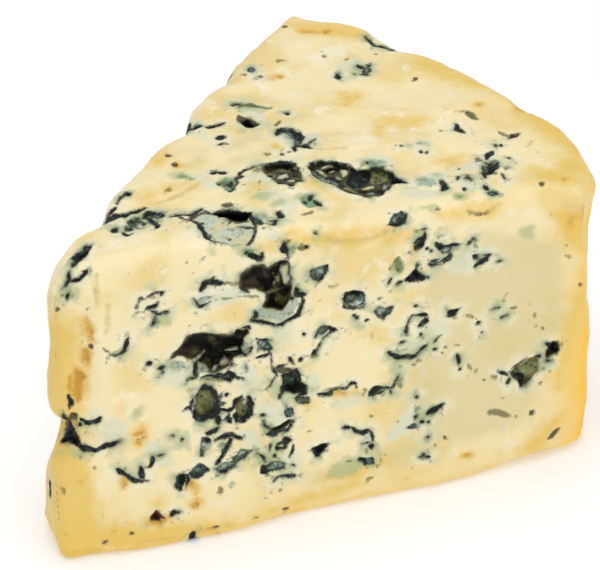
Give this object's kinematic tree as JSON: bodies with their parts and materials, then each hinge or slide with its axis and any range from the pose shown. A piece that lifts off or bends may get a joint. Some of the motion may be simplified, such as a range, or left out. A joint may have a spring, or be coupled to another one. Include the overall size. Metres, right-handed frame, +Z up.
{
  "type": "blue cheese wedge",
  "caption": "Wedge of soft blue-veined cheese with a blunt nose, a curved rind end, crumbly cut faces and open mould pockets.",
  "frame": {"origin": "centre of the wedge's bounding box, on the plane it stands on", "axes": "+X from the blunt nose to the curved rind, +Y towards the left cut face, +Z up through the wheel's height"},
  "size_m": [0.1332, 0.1162, 0.0731],
  "materials": {
    "cheese": "moist ivory paste with slate-blue and green veins, open pockets and a thin yellow rind; matte plastic stands in for a soft food"
  },
  "bodies": {
    "root": {"cheese_wedge": "cheese"}
  },
  "joints": []
}
